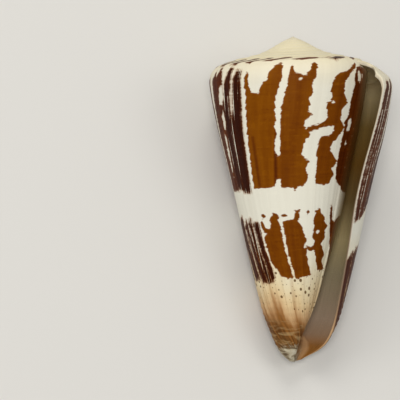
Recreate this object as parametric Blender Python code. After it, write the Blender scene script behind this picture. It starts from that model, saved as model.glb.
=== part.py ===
"""A cone shell lying on its back with the aperture up.

Run with: blender --background --python part.py

The shell is one hollow, coiled wall. It is described first in its own frame, where +Z runs up the coiling axis
to the apex and azimuth 0 is the lip's side, and is then laid down on the surface that it rests on.

A growth line is the edge that the lip once had. Columns of the mesh are growth lines and its rows are spirals,
so the mesh is built in the order in which the animal built its shell. Azimuth grows backwards in time: a little
below 0 is the lip's edge, 360 degrees further is the face beside the aperture, one whorl older.
"""

import math

import bmesh
import bpy
import numpy as np
from mathutils import Matrix, Vector

MM = 0.001

# Driving dimensions, in millimetres.
SHELL_LENGTH = 60.0
WHORL_RATIO = 1.336  # how much the radius grows in one turn
SPIRE_WHORLS = 7
LIP_EDGE = 0.55  # wall at the very edge of the lip
WALL = 1.5  # wall of the last whorl further back
INNER_WALL = 1.0  # wall of the whorls inside, which the animal thins
BASE_WALL = 0.55  # wall where the canal opens
SINUS_DEPTH = 13.0  # degrees that the lip is notched on the ramp

# Side of the last whorl: height above the tip, radius on the lip's side. It ends at the shoulder's corner.
SIDE_PROFILE = (
    (0.35, 1.6), (0.9, 2.5), (2.0, 3.9), (3.4, 5.05), (5.4, 6.25), (8.0, 7.45), (12.0, 8.7), (20.9, 11.1),
    (29.7, 13.25), (36.4, 15.0), (40.8, 16.25), (45.2, 17.3), (48.2, 17.85), (50.3, 18.1), (51.5, 17.85),
    (52.3, 17.35), (52.9, 16.6),
)
# Height of the shoulder's corner on every whorl, from the apex to the lip: radius, height.
CORNER_HEIGHT = (
    (0.0, 60.0), (0.5, 59.85), (1.2, 59.5), (3.0, 58.55), (4.7, 57.6), (6.3, 56.95), (8.3, 56.45), (10.5, 56.0),
    (12.6, 55.4), (14.8, 54.3), (16.6, 52.9),
)
# Azimuth of the lip's edge: height, degrees. It sweeps round the tip at the foot, where the canal is.
LIP_AZIMUTH = (
    (0.35, 80.0), (0.9, 55.0), (1.4, 38.0), (2.1, 21.0), (3.4, 2.0), (5.4, -14.0), (8.3, -25.0),
    (12.0, -29.0), (20.9, -33.5), (30.0, -36.0), (40.6, -33.0), (47.0, -29.5), (52.9, -26.0),
)
# How far the older face beside the aperture has drawn in towards the axis: height, share of the plain coil.
COLUMELLA = (
    (0.0, 0.03), (3.0, 0.035), (4.8, 0.08), (8.3, 0.35), (11.6, 0.53), (16.2, 0.67), (20.9, 0.79),
    (25.5, 0.86), (30.1, 0.91), (37.5, 0.95), (43.4, 0.975), (52.9, 1.0),
)
DRAWS_IN = (200.0, 360.0)  # azimuths between which the face draws in
TIP_LEAN = 1.4  # how far the columella's end leans away from the lip
TIP_DROP = 0.35  # how much lower it ends than the lip
LEAN_HEIGHT = 7.5  # height above the tip at which the lean begins
LEAN_FROM, LEAN_UNTIL = 80.0, 310.0  # azimuths between which the wall takes it up

# Mesh density.
COLUMNS = 54  # growth lines in one turn
SIDE_HEIGHTS = (
    0.35, 0.9, 1.9, 3.4, 5.4, 8.0, 11.5, 15.5, 20.0, 25.0, 30.0, 34.5, 38.5, 42.5, 46.0, 48.8, 50.6, 51.9, 52.9,
)
RAMP_STEPS = (0.0, 0.22, 0.62, 0.93)  # rows across the ramp of one whorl, as shares of its width
RAMP_RELIEF = (0.0, -0.008, -0.022, -0.026)  # how far each lies below the spire's outline, as a share of radius
CAVITY_STEPS = (
    0.0, 4.0, 10.0, 18.0, 28.0, 40.0, 54.0, 70.0, 88.0, 106.0, 124.0, 142.0, 160.0, 178.0, 196.0, 214.0, 232.0,
    250.0, 268.0, 286.0, 304.0, 322.0, 340.0, 358.0, 376.0, 394.0, 412.0, 430.0, 448.0, 466.0, 484.0, 502.0, 520.0,
)

# How it lies: the axis climbs towards the apex, and the roll puts the heavy side down.
REST_PITCH = 12.9
REST_ROLL = -17.0
CONTACT_DEPTH = 0.12  # the worn flat where it touches the surface

DECAY = math.log(WHORL_RATIO) / 360.0  # radius lost per degree of azimuth, as an exponent
CORNER_TOP, CORNER_RADIUS = SIDE_PROFILE[-1]
FOOT = SIDE_HEIGHTS[0]
SMALLEST_RADIUS = 0.4


def smooth_curve(table):
    """A smooth function through the points of a table, flat beyond its ends."""
    xs, ys = np.array(table, float).T
    steps = np.diff(ys) / np.diff(xs)
    slopes = np.concatenate([[steps[0]], np.zeros(len(xs) - 2), [steps[-1]]])
    for i in range(1, len(xs) - 1):
        before, after = steps[i - 1], steps[i]
        if before * after > 0:
            slopes[i] = 2 * before * after / (before + after)

    def value(x):
        x = min(max(x, xs[0]), xs[-1])
        i = int(min(max(np.searchsorted(xs, x) - 1, 0), len(xs) - 2))
        width = xs[i + 1] - xs[i]
        s = (x - xs[i]) / width
        rise = ys[i + 1] - ys[i]
        bow = slopes[i] * width * s * (1 - s) ** 2 - slopes[i + 1] * width * s * s * (1 - s)
        return float(ys[i] + rise * s * s * (3 - 2 * s) + bow)

    return value


side_profile = smooth_curve(SIDE_PROFILE)
corner_height = smooth_curve(CORNER_HEIGHT)
lip_azimuth = smooth_curve(LIP_AZIMUTH)
columella = smooth_curve(COLUMELLA)


def ease(x):
    x = min(max(x, 0.0), 1.0)
    return x * x * (3 - 2 * x)


def corner_at(azimuth):
    """Radius and height of the shoulder's corner, which coils up to the apex."""
    radius = CORNER_RADIUS * math.exp(-DECAY * azimuth)
    return radius, corner_height(radius)


def side_radius(azimuth, height):
    """Radius of the outer side at an azimuth and a height above the tip."""
    top = corner_at(azimuth)[1]
    plain = side_profile(height * CORNER_TOP / top) * math.exp(-DECAY * azimuth)
    drawn_in = ease((azimuth - DRAWS_IN[0]) / (DRAWS_IN[1] - DRAWS_IN[0]))
    return max(plain * (1 - (1 - columella(height)) * drawn_in), SMALLEST_RADIUS)


def place(azimuth, radius, height):
    """A point of the coil. Near the tip the older part of the wall leans away from the lip and ends lower."""
    turn = math.radians(azimuth)
    older = ease((azimuth - LEAN_FROM) / (LEAN_UNTIL - LEAN_FROM))
    lean = TIP_LEAN * older * (1 - ease(height / LEAN_HEIGHT))
    drop = TIP_DROP * older * (1 - ease((height - FOOT) / 3.0))
    return Vector((radius * math.cos(turn) - lean, radius * math.sin(turn), height - drop))


def side_point(height, turned):
    """A point of the outer side, on the growth line that is turned back from the lip by that angle."""
    azimuth = lip_azimuth(height) + turned
    raised = FOOT + (height - FOOT) * (corner_at(azimuth)[1] - FOOT) / (CORNER_TOP - FOOT)
    return place(azimuth, side_radius(azimuth, raised), raised)


def ramp_azimuth(share, turned):
    """The lip's edge is notched where it crosses the ramp, and so is every growth line."""
    return LIP_AZIMUTH[-1][1] + SINUS_DEPTH * math.sin(math.pi * share) ** 2 + turned


def ramp_point(whorl, share, relief, turned):
    azimuth = ramp_azimuth(share, turned)
    radius = CORNER_RADIUS * math.exp(-DECAY * (azimuth + 360.0 * (whorl + share)))
    return place(azimuth, radius, corner_height(radius) + relief * radius)


def wall_at(height, depth):
    """Wall thickness: thin at the lip's edge and at the foot, full further back."""
    full = BASE_WALL + (WALL - BASE_WALL) * ease((height - 1.0) / 16.0)
    full += (INNER_WALL - full) * ease((depth - 150.0) / 150.0)
    return LIP_EDGE + (full - LIP_EDGE) * ease(depth / 45.0)


def cavity_section(depth):
    """Outer wall from the foot up, then the ramp inwards, then the older face from the top down."""
    floor = FOOT + SHELL_LENGTH * (1 - math.exp(-DECAY * depth))
    open_share = 1 - 0.8 * ease((depth - 430.0) / 90.0)
    outer, ceiling, older = [], [], []
    for height in SIDE_HEIGHTS:
        level = floor + (height - FOOT) * (CORNER_TOP - floor) / (CORNER_TOP - FOOT)
        azimuth = lip_azimuth(level) + depth
        wall = wall_at(level, depth)
        top = corner_at(azimuth)[1] - 1.25 * wall
        raised = floor + (level - floor) * (top - floor) / (CORNER_TOP - floor)
        inner = side_radius(azimuth + 360.0, raised)
        reach = max(side_radius(azimuth, raised) - wall, inner + 0.4)
        outer.append(place(azimuth, inner + (reach - inner) * open_share, raised))
    for share in RAMP_STEPS[1:]:
        azimuth = ramp_azimuth(share, depth)
        radius = CORNER_RADIUS * math.exp(-DECAY * (azimuth + 360.0 * share))
        drop = 1.25 * wall_at(CORNER_TOP, depth) - RAMP_RELIEF[RAMP_STEPS.index(share)] * radius
        reach = CORNER_RADIUS * math.exp(-DECAY * (azimuth + 360.0))
        ceiling.append(place(azimuth, reach + (radius - reach) * open_share, corner_height(radius) - drop))
    top = ceiling[-1].z - 0.35 - 0.5 * ease(depth / 20.0)
    for height in SIDE_HEIGHTS[:-1]:
        share = (height - FOOT) / (SIDE_HEIGHTS[-2] - FOOT)
        raised = floor + share * (top - floor)
        azimuth = lip_azimuth(floor + share * (CORNER_TOP - floor)) + depth + 360.0
        older.append(place(azimuth, side_radius(azimuth, raised), raised))
    return outer + ceiling + older[::-1]


def add_face(bm, corners):
    """A face on these corners, leaving out any that repeat where a strip narrows to a point."""
    kept = [v for i, v in enumerate(corners) if v not in corners[:i]]
    if len(kept) > 2:
        bm.faces.new(kept)


def build_outside(bm):
    """The side, and from its corner inwards the ramps of all whorls, coiling up to the apex.

    After one turn a ramp's row meets the row one whorl further in, which closes the suture.
    """
    turn = 360.0 / COLUMNS
    corner_row = len(SIDE_HEIGHTS) - 1
    steps = len(RAMP_STEPS)
    rows = corner_row + steps * SPIRE_WHORLS + 1
    grid = {}
    for column in range(COLUMNS + 1):
        for row in range(rows):
            if row < corner_row:
                grid[column, row] = bm.verts.new(side_point(SIDE_HEIGHTS[row], column * turn) * MM)
            elif column < COLUMNS:
                whorl, step = divmod(row - corner_row, steps)
                spot = ramp_point(whorl, RAMP_STEPS[step], RAMP_RELIEF[step], column * turn)
                grid[column, row] = bm.verts.new(spot * MM)
            else:
                grid[column, row] = grid[0, min(row + steps, rows - 1)]
    for column in range(COLUMNS):
        for row in range(rows - 1):
            near, far = column, column + 1
            add_face(bm, [grid[near, row], grid[far, row], grid[far, row + 1], grid[near, row + 1]])
    apex = bm.verts.new(Vector((0.0, 0.0, SHELL_LENGTH)) * MM)
    for column in range(COLUMNS):
        add_face(bm, [grid[column, rows - 1], grid[column + 1, rows - 1], apex])
        add_face(bm, [grid[column + 1, 0], grid[column, 0], grid[COLUMNS, 0]])
    lip = [grid[0, row] for row in range(corner_row + steps + 1)]
    older_face = [grid[COLUMNS, row] for row in range(corner_row)]
    return lip, older_face


def build_hollow(bm, lip, older_face):
    """The lip's rim and the hollow behind it, which follows the coil and ends in a closed wall."""
    first = cavity_section(CAVITY_STEPS[0])
    fresh = [bm.verts.new(spot * MM) for spot in first[: len(lip) - 1]]
    ring = fresh + older_face[::-1]
    for i in range(len(lip) - 1):
        add_face(bm, [lip[i], lip[i + 1], ring[i + 1], ring[i]])
    add_face(bm, [lip[0], ring[0], older_face[0]])
    for depth in CAVITY_STEPS[1:]:
        spots = cavity_section(depth)
        if depth < CAVITY_STEPS[-1]:
            deeper = [bm.verts.new(spot * MM) for spot in spots]
        else:
            # The hollow narrows to nothing: both its sides end on one line.
            line = [bm.verts.new(spot * MM) for spot in spots[::-1][: len(older_face)]]
            deeper = line + [line[-1]] * (len(fresh) - len(line)) + line[::-1]
        for i in range(len(ring)):
            j = (i + 1) % len(ring)
            add_face(bm, [ring[i], ring[j], deeper[j], deeper[i]])
        ring = deeper


def lay_down(bm):
    """Turn the shell from its own frame to its resting pose and wear the small flat that it stands on."""
    lying = Matrix(((-1, 0, 0), (0, 0, -1), (0, -1, 0))).to_4x4()
    roll = Matrix.Rotation(math.radians(REST_ROLL), 4, "Z")
    pitch = Matrix.Rotation(math.radians(-REST_PITCH), 4, "X")
    bm.transform(pitch @ lying @ roll)
    low = min(v.co.z for v in bm.verts) + CONTACT_DEPTH * MM
    everything = bm.verts[:] + bm.edges[:] + bm.faces[:]
    cut = bmesh.ops.bisect_plane(
        bm, geom=everything, dist=1e-8, plane_co=(0, 0, low), plane_no=(0, 0, -1), clear_outer=True
    )
    edges = [item for item in cut["geom_cut"] if isinstance(item, bmesh.types.BMEdge)]
    bmesh.ops.contextual_create(bm, geom=edges)
    xs = [v.co.x for v in bm.verts]
    ys = [v.co.y for v in bm.verts]
    shift = Vector((-(min(xs) + max(xs)) / 2, -(min(ys) + max(ys)) / 2, -low))
    bmesh.ops.translate(bm, verts=bm.verts, vec=shift)


def ceramic(name):
    material = bpy.data.materials.new(name)
    material.use_nodes = True
    shader = material.node_tree.nodes["Principled BSDF"]
    shader.inputs["Base Color"].default_value = (0.42, 0.23, 0.11, 1.0)
    shader.inputs["Roughness"].default_value = 0.35
    return material


def main():
    for item in list(bpy.data.objects):
        bpy.data.objects.remove(item)
    collection = bpy.data.collections.new("cone_shell")
    bpy.context.scene.collection.children.link(collection)

    bm = bmesh.new()
    lip, older_face = build_outside(bm)
    build_hollow(bm, lip, older_face)
    lay_down(bm)
    bmesh.ops.triangulate(bm, faces=bm.faces, quad_method="SHORT_EDGE", ngon_method="BEAUTY")
    bmesh.ops.recalc_face_normals(bm, faces=bm.faces)
    if bm.calc_volume(signed=True) < 0:
        bmesh.ops.reverse_faces(bm, faces=bm.faces)
    open_edges = sum(1 for edge in bm.edges if len(edge.link_faces) != 2)
    print("triangles", len(bm.faces), "open edges", open_edges, "volume mm3", round(bm.calc_volume() * 1e9, 1))

    mesh = bpy.data.meshes.new("shell")
    bm.to_mesh(mesh)
    bm.free()
    shell = bpy.data.objects.new("shell", mesh)
    shell.data.materials.append(ceramic("shell_lime"))
    collection.objects.link(shell)


main()
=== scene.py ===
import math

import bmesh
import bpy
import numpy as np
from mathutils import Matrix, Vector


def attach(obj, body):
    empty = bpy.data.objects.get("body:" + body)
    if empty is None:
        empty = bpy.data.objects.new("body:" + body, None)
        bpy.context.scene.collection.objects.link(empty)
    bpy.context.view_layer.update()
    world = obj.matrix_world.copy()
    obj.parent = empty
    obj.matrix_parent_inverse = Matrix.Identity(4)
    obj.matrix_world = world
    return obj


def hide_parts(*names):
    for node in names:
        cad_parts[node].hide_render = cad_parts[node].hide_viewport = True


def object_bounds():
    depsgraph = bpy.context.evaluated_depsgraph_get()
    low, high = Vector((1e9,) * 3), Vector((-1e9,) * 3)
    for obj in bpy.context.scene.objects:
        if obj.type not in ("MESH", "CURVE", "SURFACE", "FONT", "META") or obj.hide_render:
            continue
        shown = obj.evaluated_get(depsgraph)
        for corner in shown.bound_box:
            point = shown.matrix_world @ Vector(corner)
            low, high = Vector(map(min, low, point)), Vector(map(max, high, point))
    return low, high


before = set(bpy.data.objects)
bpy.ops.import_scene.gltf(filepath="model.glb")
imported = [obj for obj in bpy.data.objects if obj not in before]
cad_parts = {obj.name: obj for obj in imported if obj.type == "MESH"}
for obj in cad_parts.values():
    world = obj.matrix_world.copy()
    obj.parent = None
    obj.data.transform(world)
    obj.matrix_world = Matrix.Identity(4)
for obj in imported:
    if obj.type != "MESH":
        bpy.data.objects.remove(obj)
cad_low, cad_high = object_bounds()

# %% [markdown]
# # A cone shell, mouth up
# The shell is one hollow wall that a sea snail laid down along its edge, the lip, while it grew. Every
# older lip edge is still there as a growth line, and each one is the next one turned back and made a little
# smaller. This script follows that rule: a flat sheet whose columns are growth lines is rolled up round the
# axis, and the markings are drawn on the sheet before it is rolled.

MM = 0.001
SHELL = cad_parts["shell"]
print("CAD box in mm", [round((b - a) / MM, 1) for a, b in zip(cad_low, cad_high)])

# %% [markdown]
# ## Sizes
# All sizes are millimetres in the shell's own frame: the axis is Z with the apex at the top, and azimuth 0
# is the lip's side. They are the same as the solid model's, so the picture and the solid agree.

# %% Sizes of the coil
SHELL_LENGTH = 60.0
WHORL_RATIO = 1.336
SPIRE_WHORLS = 7
LIP_WALL = 0.55
WALL = 1.5
BASE_WALL = 0.55
SINUS_DEPTH = 13.0
SMALLEST_RADIUS = 0.4
SIDE_PROFILE = (
    (0.35, 1.6), (0.9, 2.5), (2.0, 3.9), (3.4, 5.05), (5.4, 6.25), (8.0, 7.45), (12.0, 8.7), (20.9, 11.1),
    (29.7, 13.25), (36.4, 15.0), (40.8, 16.25), (45.2, 17.3), (48.2, 17.85), (50.3, 18.1), (51.5, 17.85),
    (52.3, 17.35), (52.9, 16.6),
)
SPIRE_OUTLINE = (
    (0.0, 60.0), (0.5, 59.85), (1.2, 59.5), (3.0, 58.55), (4.7, 57.6), (6.3, 56.95), (8.3, 56.45),
    (10.5, 56.0), (12.6, 55.4), (14.8, 54.3), (16.6, 52.9),
)
LIP_AZIMUTH = (
    (0.35, 80.0), (0.9, 55.0), (1.4, 38.0), (2.1, 21.0), (3.4, 2.0), (5.4, -14.0), (8.3, -25.0),
    (12.0, -29.0), (20.9, -33.5), (30.0, -36.0), (40.6, -33.0), (47.0, -29.5), (52.9, -26.0),
)
PILLAR_SHARE = (
    (0.0, 0.03), (3.0, 0.035), (4.8, 0.08), (8.3, 0.35), (11.6, 0.53), (16.2, 0.67), (20.9, 0.79),
    (25.5, 0.86), (30.1, 0.91), (37.5, 0.95), (43.4, 0.975), (52.9, 1.0),
)
DRAWS_IN = (200.0, 360.0)
TIP_LEAN, TIP_DROP, LEAN_HEIGHT = 1.4, 0.35, 7.5
LEAN_FROM, LEAN_UNTIL = 80.0, 310.0
SKIN = 0.07
APEX_WHORLS = 60.0
FOOT = SIDE_PROFILE[0][0]
CORNER_HEIGHT, CORNER_REACH = SIDE_PROFILE[-1]
REST_PITCH, REST_ROLL, CONTACT_DEPTH = 12.9, -17.0, 0.12
print("whorls", SPIRE_WHORLS + 1, "length mm", SHELL_LENGTH)


# %% [markdown]
# ## Smooth curves
# A profile is given by a few points that a person can read. Between them a smooth curve is needed that
# never overshoots, or the side would ripple. A cubic whose slopes are harmonic means does that.

# %% A curve through a few points
def smooth_curve(table):
    xs, ys = np.array(table, float).T
    steps = np.diff(ys) / np.diff(xs)
    slopes = np.concatenate([[steps[0]], np.zeros(len(xs) - 2), [steps[-1]]])
    for i in range(1, len(xs) - 1):
        if steps[i - 1] * steps[i] > 0:
            slopes[i] = 2 * steps[i - 1] * steps[i] / (steps[i - 1] + steps[i])

    def value(x):
        x = np.clip(np.asarray(x, float), xs[0], xs[-1])
        i = np.clip(np.searchsorted(xs, x) - 1, 0, len(xs) - 2)
        width = xs[i + 1] - xs[i]
        s = (x - xs[i]) / width
        bow = slopes[i] * width * s * (1 - s) ** 2 - slopes[i + 1] * width * s * s * (1 - s)
        return ys[i] + (ys[i + 1] - ys[i]) * s * s * (3 - 2 * s) + bow

    return value


def ease(x):
    x = np.clip(x, 0.0, 1.0)
    return x * x * (3 - 2 * x)


side_reach = smooth_curve(SIDE_PROFILE)
spire_height = smooth_curve(SPIRE_OUTLINE)
lip_azimuth = smooth_curve(LIP_AZIMUTH)
pillar_share = smooth_curve(PILLAR_SHARE)
print("widest reach", round(float(side_reach(50.3)), 2))


# %% [markdown]
# ## Rows of the sheet
# A row of the sheet becomes a spiral on the shell. The side's rows are close together at the foot and on
# the shoulder, where it bends most. Above the shoulder the rows climb the ramp of each whorl, and a narrow
# dip at the end of each whorl's rows makes the suture, the line where it is laid against the whorl before.

# %% Rows: where each one starts and how far out it lies
COLUMNS = 300
FLANK_ROWS, END_ROWS = 124, 24
FOOT_BAND, SHOULDER_FROM = 5.0, 47.0
foot_rows = FOOT + FOOT_BAND * np.linspace(0, 1, END_ROWS)[:-1] ** 1.25
flank_rows = np.linspace(FOOT + FOOT_BAND, SHOULDER_FROM, FLANK_ROWS)[:-1]
rounding = 1 - (1 - np.linspace(0, 1, END_ROWS)) ** 1.2
shoulder_rows = SHOULDER_FROM + (CORNER_HEIGHT - SHOULDER_FROM) * rounding
side_heights = np.concatenate([foot_rows, flank_rows, shoulder_rows])
RAMP_SHARES = (0.0, 0.08, 0.18, 0.3, 0.42, 0.54, 0.66, 0.78, 0.88, 0.96)
RAMP_DROPS = (0.0, -0.001, 0.001, 0.003, 0.005, 0.0075, 0.009, 0.0105, 0.0125, 0.017)
corner_row = len(side_heights) - 1
ramp_steps = len(RAMP_SHARES)
row_count = corner_row + ramp_steps * SPIRE_WHORLS + 1
print("rows", row_count, "growth lines", COLUMNS)


def growth(azimuth):
    """How much smaller the shell was, that many degrees back."""
    return WHORL_RATIO ** (-np.asarray(azimuth) / 360.0)


def side_radius(azimuth, level):
    drawn = ease((azimuth - DRAWS_IN[0]) / (DRAWS_IN[1] - DRAWS_IN[0]))
    plain = side_reach(level) * growth(azimuth)
    return np.maximum(plain * (1 - (1 - pillar_share(level)) * drawn), SMALLEST_RADIUS)


# %% [markdown]
# ## The flat sheet
# Each corner of the sheet carries named numbers: how far it is turned back from the lip, its height, its
# reach from the axis and how deep it lies inside the wall. The outside, the rounded lip and the hollow
# behind it are one sheet, because on the real shell they are one wall. After a full turn a ramp's row meets
# the next whorl's row, so those corners are shared and the suture closes without a gap.

# %% Corners of the sheet, and the names of their numbers
FIELDS = ("turned", "whorls_in", "height", "reach", "lip_bend", "pillar", "inset", "drop", "inside", "callus")
corners, faces = [], []


def add_corners(**values):
    """Adds corners with these numbers, zero for those not named, and returns their indices."""
    count = max(np.size(v) for v in values.values())
    block = np.zeros((count, len(FIELDS)))
    for name, value in values.items():
        block[:, FIELDS.index(name)] = value
    first = sum(len(b) for b in corners)
    corners.append(block)
    return np.arange(first, first + count)


def join_rows(first, second):
    """Faces between two lists of corners. A corner that repeats makes a triangle."""
    for a, b, c, d in zip(first[:-1], first[1:], second[1:], second[:-1]):
        ring = list(dict.fromkeys((int(a), int(b), int(c), int(d))))
        if len(ring) > 2:
            faces.append(ring)


# %% The outside of the sheet
RIDGES = (
    (14, 0.03), (38, 0.04), (71, 0.03), (98, 0.05), (133, 0.03), (157, 0.04), (204, 0.05), (246, 0.04),
    (261, 0.05), (290, 0.03), (326, 0.05),
)
RIDGE_DEGREES = 1.6
CORD_SPACING, CORD_HEIGHT = 1.1, 0.055
CORDS_START, CORDS_FULL, CORDS_FADE, CORDS_END = 1.0, 3.0, 8.0, 16.0
SMOOTH_LIP_DEGREES = 6.0


def growth_marks(turned):
    """Low ridges where the animal paused: mm that the wall stands proud, along one growth line."""
    proud = sum(high * np.exp(-(((turned - at) / RIDGE_DEGREES) ** 2)) for at, high in RIDGES)
    return proud + 0.012 * np.sin(turned * 0.9) + 0.008 * np.sin(turned * 2.3 + 1.0)


def base_threads(level):
    """Fine spiral cords near the tip, which fade out up the side: mm that they stand proud."""
    fade_in = ease((level - CORDS_START) / (CORDS_FULL - CORDS_START))
    fade_out = ease((CORDS_END - level) / (CORDS_END - CORDS_FADE))
    return CORD_HEIGHT * fade_out * fade_in * np.cos(2 * math.pi * level / CORD_SPACING)


def sinus_bend(share):
    """The lip's azimuth on the ramp, where it bends back in a notch beside the spire."""
    return LIP_AZIMUTH[-1][1] + SINUS_DEPTH * np.sin(math.pi * share) ** 2


turn = 360.0 / COLUMNS
grid = np.zeros((COLUMNS + 1, row_count), int)
for column in range(COLUMNS + 1):
    turned = column * turn
    side = side_heights[:-1]
    proud = (growth_marks(turned) + base_threads(side)) * ease(turned / SMOOTH_LIP_DEGREES)
    grid[column, :corner_row] = add_corners(
        turned=turned, height=side, reach=side_reach(side), lip_bend=lip_azimuth(side),
        pillar=pillar_share(side), inset=SKIN - proud,
    )
    if column == COLUMNS:
        break
    shares = np.tile(RAMP_SHARES, SPIRE_WHORLS + 1)[: row_count - corner_row]
    whorls = np.repeat(np.arange(SPIRE_WHORLS + 1), ramp_steps)[: row_count - corner_row]
    drops = np.tile(RAMP_DROPS, SPIRE_WHORLS + 1)[: row_count - corner_row]
    radius = CORNER_REACH * growth(turned + 360.0 * (whorls + shares))
    grid[column, corner_row:] = add_corners(
        turned=turned, whorls_in=whorls + shares, height=CORNER_HEIGHT, reach=CORNER_REACH,
        lip_bend=sinus_bend(shares), pillar=1.0, drop=drops * radius,
    )
after_a_turn = np.minimum(np.arange(corner_row, row_count) + ramp_steps, row_count - 1)
grid[COLUMNS, corner_row:] = grid[0, after_a_turn]
for row in range(row_count - 1):
    join_rows(grid[:, row], grid[:, row + 1])
# So many whorls in, the growth rule brings a corner to the axis.
apex = add_corners(turned=0.0, whorls_in=APEX_WHORLS, height=CORNER_HEIGHT, reach=CORNER_REACH)[0]
join_rows(grid[:, row_count - 1], [apex] * (COLUMNS + 1))
join_rows([grid[COLUMNS, 0]] * (COLUMNS + 1), grid[:, 0])
print("outside faces", len(faces))

# %% [markdown]
# ## The lip and the hollow
# The lip is about half a millimetre thick and rounded. Behind it the wall thickens, and the hollow follows
# the coil between the last whorl and the one before. It narrows to nothing far behind what the mouth shows.

# %% The rounded lip
lip = grid[0, : corner_row + ramp_steps + 1]
older_face = grid[COLUMNS, :corner_row]
ramp_shares = np.array(RAMP_SHARES[1:])
ramp_bend = sinus_bend(ramp_shares)
# The wall is thicker under the ramp than at the side, and the hollow's two faces never meet.
UNDER_RAMP, LEAST_GAP, TOP_GAP = 1.25, 0.35, 0.9
LIP_FADE, BASE_FADE = 45.0, 16.0
LIP_BULGE, LIP_SHARES = 0.8, (0.12, 0.32, 0.55, 0.78, 0.93)


def wall_ring(depth, inset, inside):
    """Corners up the inside of the outer wall and in under the ramp, that many degrees behind the lip."""
    floor = FOOT + SHELL_LENGTH * (1 - float(growth(max(depth, 0.0))))
    level = floor + (side_heights - FOOT) * (CORNER_HEIGHT - floor) / (CORNER_HEIGHT - FOOT)
    azimuth = lip_azimuth(level) + depth
    room = side_radius(azimuth, level) - side_radius(azimuth + 360.0, level) - LEAST_GAP
    side = add_corners(
        turned=depth, height=level, reach=side_reach(level), lip_bend=lip_azimuth(level),
        pillar=pillar_share(level), inset=np.minimum(inset(level), room),
        drop=UNDER_RAMP * inset(level) * (level - floor) / (CORNER_HEIGHT - floor), inside=inside,
    )
    radius = CORNER_REACH * growth(ramp_bend + depth + 360.0 * ramp_shares)
    under = UNDER_RAMP * float(inset(CORNER_HEIGHT)) + np.array(RAMP_DROPS[1:]) * radius
    ramp = add_corners(
        turned=depth, whorls_in=ramp_shares, height=CORNER_HEIGHT, reach=CORNER_REACH, lip_bend=ramp_bend,
        pillar=1.0, drop=under, inside=inside,
    )
    return np.concatenate([side, ramp])


def full_wall(depth):
    """The wall's thickness at a level, that many degrees behind the lip."""
    def inset(level):
        full = BASE_WALL + (WALL - BASE_WALL) * ease((level - 1.0) / BASE_FADE)
        return LIP_WALL + (full - LIP_WALL) * ease(depth / LIP_FADE)

    return inset


edge = lip
lip_rings = []
for share in LIP_SHARES:
    bulge = LIP_BULGE * math.sqrt(1 - (2 * share - 1) ** 2)
    ring = wall_ring(-bulge, lambda level: share * LIP_WALL, 0.25 + 0.5 * share)
    ring = np.concatenate([ring, lip[-1:]])
    join_rows(ring, edge)
    edge = ring
    lip_rings.append(ring)
print("lip rings", len(lip_rings))

# %% The hollow behind the lip
HOLLOW_DEPTHS = (0, 1.5, 4, 8, 14, 22, 32, 45, 62, 82, 106, 134, 166, 200, 236, 270)


def older_ring(depth, top_gap):
    """Corners down the older whorl's face, which is the hollow's other side."""
    floor = FOOT + SHELL_LENGTH * (1 - float(growth(depth)))
    share = (side_heights[:-1] - FOOT) / (side_heights[-2] - FOOT)
    bend = lip_azimuth(floor + share * (CORNER_HEIGHT - floor))
    ceiling = float(spire_height(CORNER_REACH * growth(ramp_bend[-1] + depth + 360.0 * ramp_shares[-1])))
    raised = floor + share * (ceiling - top_gap - floor)
    tops = spire_height(CORNER_REACH * growth(bend + depth + 360.0))
    height = FOOT + (raised - FOOT) * (CORNER_HEIGHT - FOOT) / (tops - FOOT)
    return add_corners(
        turned=depth + 360.0, height=height, reach=side_reach(height), lip_bend=bend,
        pillar=pillar_share(raised), callus=ease((depth + 4.0) / LIP_FADE),
    )


wall = full_wall(0.0)
fresh = wall_ring(0.0, wall, 1.0)
join_rows(np.concatenate([fresh, lip[-1:]]), edge)
ring = np.concatenate([fresh, older_face[::-1]])
# The last of the lip's faces turns from the suture down to the older face's topmost corner.
faces.append([int(fresh[-1]), int(older_face[-1]), int(lip[-1])])
for depth in HOLLOW_DEPTHS[1:]:
    wall = full_wall(depth)
    older = older_ring(depth, UNDER_RAMP * float(wall(CORNER_HEIGHT)) + TOP_GAP)
    if depth < HOLLOW_DEPTHS[-1]:
        deeper = np.concatenate([wall_ring(depth, wall, 1.0), older[::-1]])
    else:
        spare = len(fresh) - len(older)
        deeper = np.concatenate([older, [older[-1]] * spare, older[::-1]])
    join_rows(np.append(deeper, deeper[0]), np.append(ring, ring[0]))
    ring = deeper
print("all faces", len(faces))

# %% The foot of the lip
foot_chain = [int(lip[0])] + [int(r[0]) for r in lip_rings] + [int(fresh[0])]
for a, b in zip(foot_chain[:-1], foot_chain[1:]):
    faces.append([a, b, int(older_face[0])])
values = {name: np.concatenate(corners)[:, i] for i, name in enumerate(FIELDS)}
print("corners", len(values["turned"]), "faces", len(faces))

# %% [markdown]
# ## The markings, drawn on the flat sheet
# The brown flames were laid down at the lip together with the wall, so on the flat sheet they stand
# upright, and their edges step out along spiral lines. Each flame is an outline with corners given as
# degrees back from the lip and millimetres above the tip, and a tone from golden (0) to blackish brown (1).
# Pale gaps are cut out of them. What the sheet stores is the distance to the nearest outline in
# millimetres: the material turns it into a crisp edge at any size, which a picture could not.

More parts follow.
